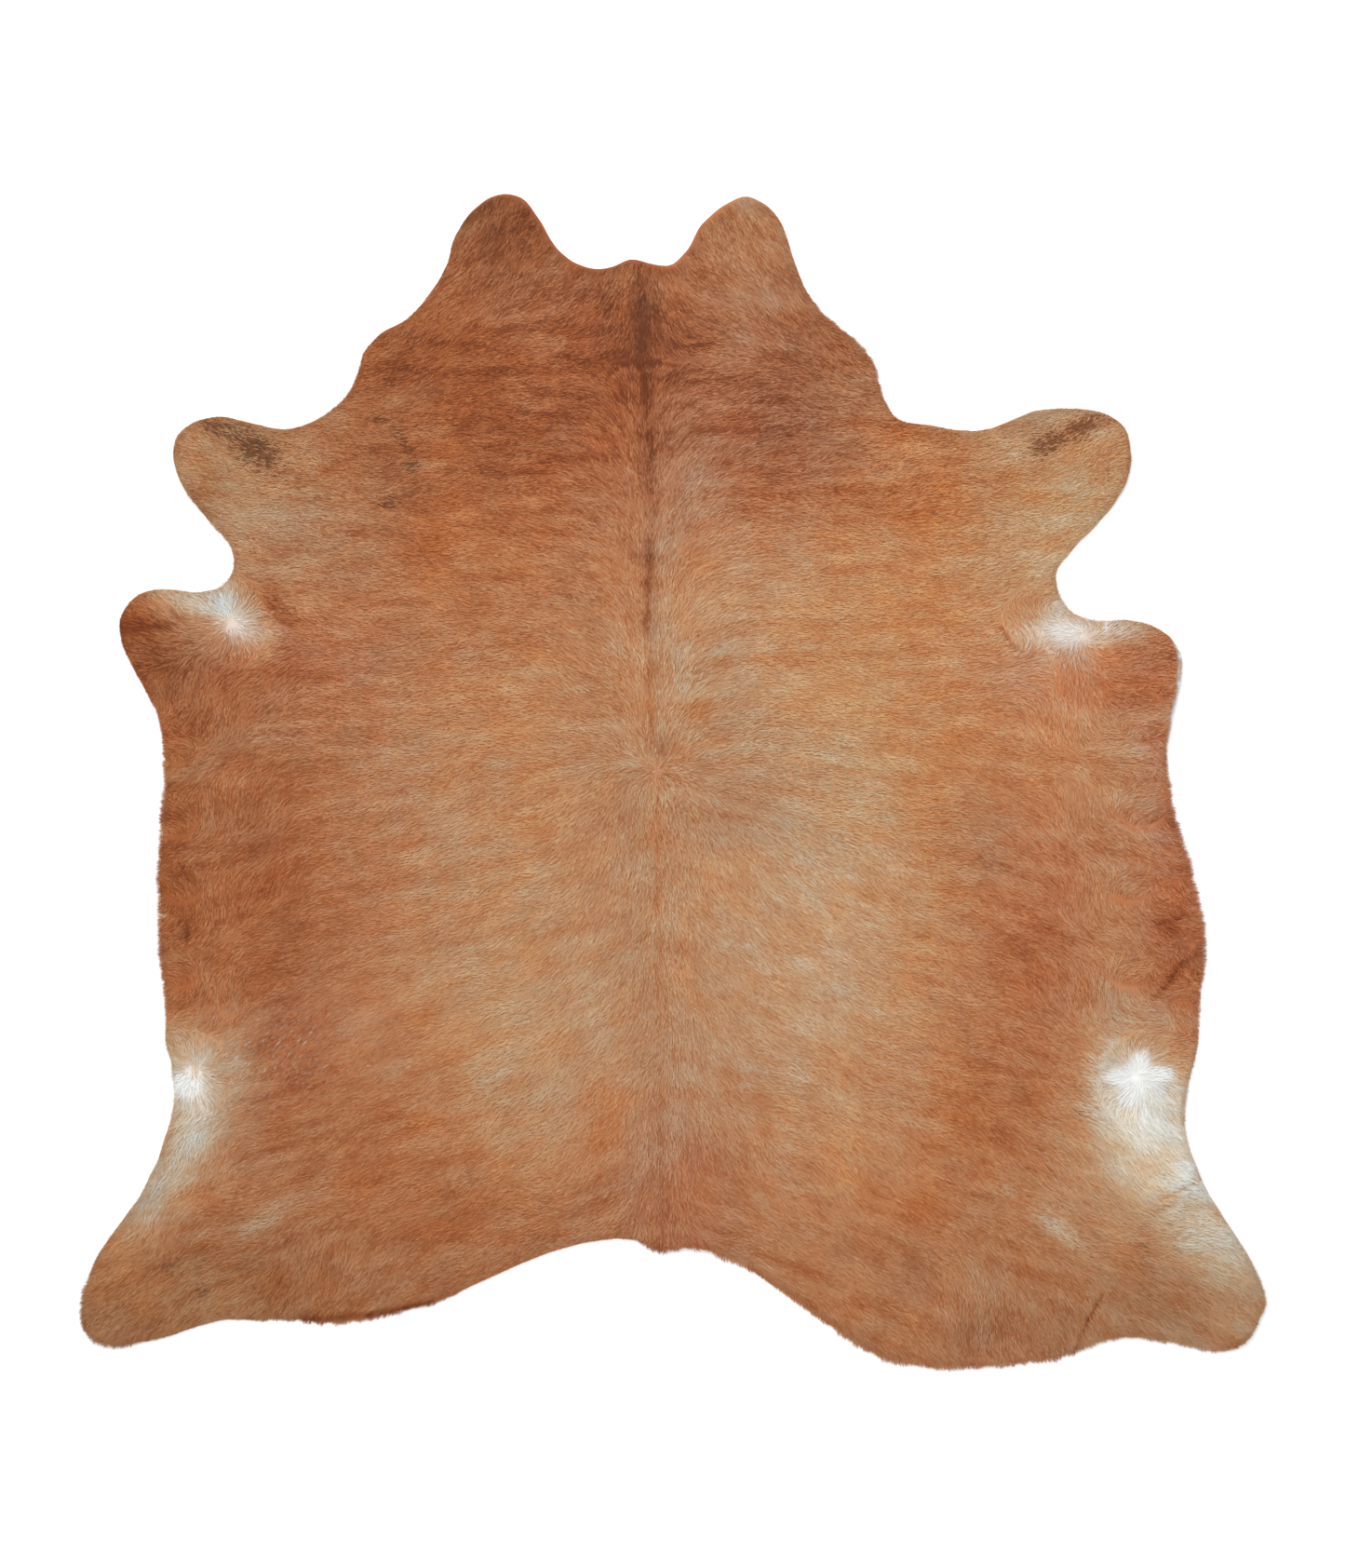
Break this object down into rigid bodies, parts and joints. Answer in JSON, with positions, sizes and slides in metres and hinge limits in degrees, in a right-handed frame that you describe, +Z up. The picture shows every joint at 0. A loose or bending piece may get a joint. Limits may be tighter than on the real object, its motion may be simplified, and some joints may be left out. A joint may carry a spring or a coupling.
{
  "type": "cowhide rug",
  "caption": "Whole tanned cow hide with its short hair on, trimmed to the animal's outline and laid flat, hair side up, as a floor rug.",
  "frame": {"origin": "middle of the outline's box, on the surface that the hide rests on", "axes": "+Z up through the hair side, +Y towards the neck end, +X to the right seen from above"},
  "size_m": [2.0998, 2.0816, 0.0112],
  "materials": {
    "coat": "short lying hair in caramel and rust brown with brindle streaks and white marks, over tanned skin"
  },
  "bodies": {
    "root": {"cowhide": "coat"}
  },
  "joints": []
}
